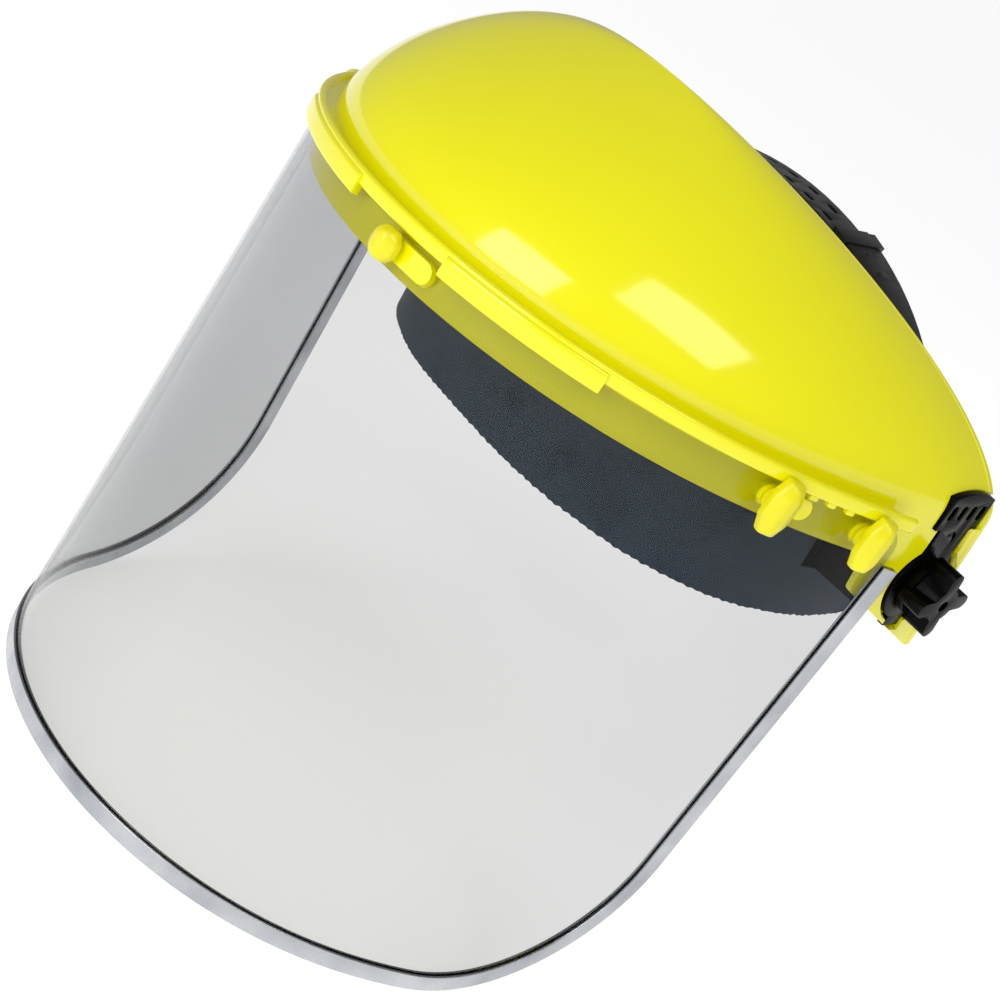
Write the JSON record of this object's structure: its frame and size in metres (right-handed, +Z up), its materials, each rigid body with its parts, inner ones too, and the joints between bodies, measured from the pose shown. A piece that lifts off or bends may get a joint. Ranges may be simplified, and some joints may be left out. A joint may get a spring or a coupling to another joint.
{
  "type": "face shield",
  "caption": "Safety face shield: a domed brow guard with a clear metal-edged visor held by turn latches, tilting on a headgear with crown strap and nape ratchet.",
  "frame": {"origin": "middle of the tilt axis, halfway between the two side pivots, in the middle of the wearer's head", "axes": "+X towards the wearer's left along the tilt axis, -Y forward through the visor, +Z up along the lowered visor"},
  "size_m": [0.2606, 0.2891, 0.2671],
  "materials": {
    "fluorescent_shell": "glossy fluorescent yellow moulded plastic",
    "fluorescent_latch": "semi-gloss yellow moulded plastic",
    "clear_sheet": "clear polycarbonate-like sheet",
    "binding_metal": "satin aluminium channel",
    "black_moulding": "semi-matt black moulded plastic",
    "black_band": "semi-gloss flexible black plastic",
    "ratchet_plastic": "fine-textured black plastic",
    "rack_plastic": "smooth dark acetal",
    "slate_fabric": "slate-grey brushed foam-backed cloth with a pinked edge",
    "nape_foam": "dark foam pad",
    "rivet_metal": "plain steel rivets",
    "bolt_steel": "zinc-plated steel",
    "insert_brass": "machined brass",
    "washer_fibre": "hard fibre washer"
  },
  "bodies": {
    "headgear": {"headband": "black_band", "sweatband": "slate_fabric", "sweatband_flap": "slate_fabric", "crown_strap_left": "black_band", "crown_strap_right": "black_band", "strap_rivets": "rivet_metal", "pivot_arm_left": "black_moulding", "pivot_arm_right": "black_moulding", "arm_rivets": "rivet_metal", "pivot_bolt_left": "bolt_steel", "pivot_bolt_right": "bolt_steel", "friction_washer_left": "washer_fibre", "friction_washer_right": "washer_fibre", "ratchet_housing": "ratchet_plastic", "ratchet_cover": "ratchet_plastic", "cover_screws": "bolt_steel", "nape_pad": "nape_foam"},
    "brow_guard": {"brow_guard": "fluorescent_shell", "visor": "clear_sheet", "visor_binding": "binding_metal", "stop_plate_left": "black_moulding", "stop_plate_right": "black_moulding"},
    "pivot_knob_left": {"pivot_knob_left": "black_moulding", "knob_insert_left": "insert_brass"},
    "pivot_knob_right": {"pivot_knob_right": "black_moulding", "knob_insert_right": "insert_brass"},
    "ratchet_knob": {"ratchet_knob": "ratchet_plastic", "ratchet_pinion": "rack_plastic", "knob_screw": "bolt_steel"},
    "rack_left": {"rack_left": "rack_plastic"},
    "rack_right": {"rack_right": "rack_plastic"},
    "latch_centre": {"latch_centre": "fluorescent_latch"},
    "latch_left_front": {"latch_left_front": "fluorescent_latch"},
    "latch_left_rear": {"latch_left_rear": "fluorescent_latch"},
    "latch_right_front": {"latch_right_front": "fluorescent_latch"},
    "latch_right_rear": {"latch_right_rear": "fluorescent_latch"}
  },
  "joints": [
    {"name": "visor_tilt", "type": "hinge", "parent": "headgear", "child": "brow_guard", "pos_m": [0, 0, 0], "axis": [-1, 0, 0], "range_deg": [0, 85]},
    {"name": "left_knob_turn", "type": "hinge", "parent": "headgear", "child": "pivot_knob_left", "pos_m": [0.122, 0, 0], "axis": [1, 0, 0], "range_deg": [0, 360]},
    {"name": "right_knob_turn", "type": "hinge", "parent": "headgear", "child": "pivot_knob_right", "pos_m": [-0.122, 0, 0], "axis": [-1, 0, 0], "range_deg": [0, 360]},
    {"name": "ratchet_turn", "type": "hinge", "parent": "headgear", "child": "ratchet_knob", "pos_m": [0, 0.11243, -0.01968], "axis": [0, -0.994, 0.1097], "range_deg": [-45, 90]},
    {"name": "rack_left_slide", "type": "slide", "parent": "headgear", "child": "rack_left", "axis": [-1, 0, 0], "range_m": [-0.004, 0.008]},
    {"name": "rack_right_slide", "type": "slide", "parent": "headgear", "child": "rack_right", "axis": [1, 0, 0], "range_m": [-0.004, 0.008]},
    {"name": "latch_centre_turn", "type": "hinge", "parent": "brow_guard", "child": "latch_centre", "pos_m": [0.0045, -0.15396, 0.012], "axis": [0.0418, -0.9991, 0], "range_deg": [0, 90]},
    {"name": "latch_left_front_turn", "type": "hinge", "parent": "brow_guard", "child": "latch_left_front", "pos_m": [0.10362, -0.07986, 0.012], "axis": [0.9189, -0.3944, 0], "range_deg": [0, 90]},
    {"name": "latch_left_rear_turn", "type": "hinge", "parent": "brow_guard", "child": "latch_left_rear", "pos_m": [0.11558, -0.04485, 0.012], "axis": [0.9614, -0.2753, 0], "range_deg": [0, 90]},
    {"name": "latch_right_front_turn", "type": "hinge", "parent": "brow_guard", "child": "latch_right_front", "pos_m": [-0.10362, -0.07986, 0.012], "axis": [-0.9189, -0.3944, 0], "range_deg": [0, 90]},
    {"name": "latch_right_rear_turn", "type": "hinge", "parent": "brow_guard", "child": "latch_right_rear", "pos_m": [-0.11558, -0.04485, 0.012], "axis": [-0.9614, -0.2753, 0], "range_deg": [0, 90]}
  ],
  "couplings": [
    {"joint": "rack_left_slide", "follows": "ratchet_turn", "m_per_rad": 0.005},
    {"joint": "rack_right_slide", "follows": "ratchet_turn", "m_per_rad": 0.005}
  ]
}
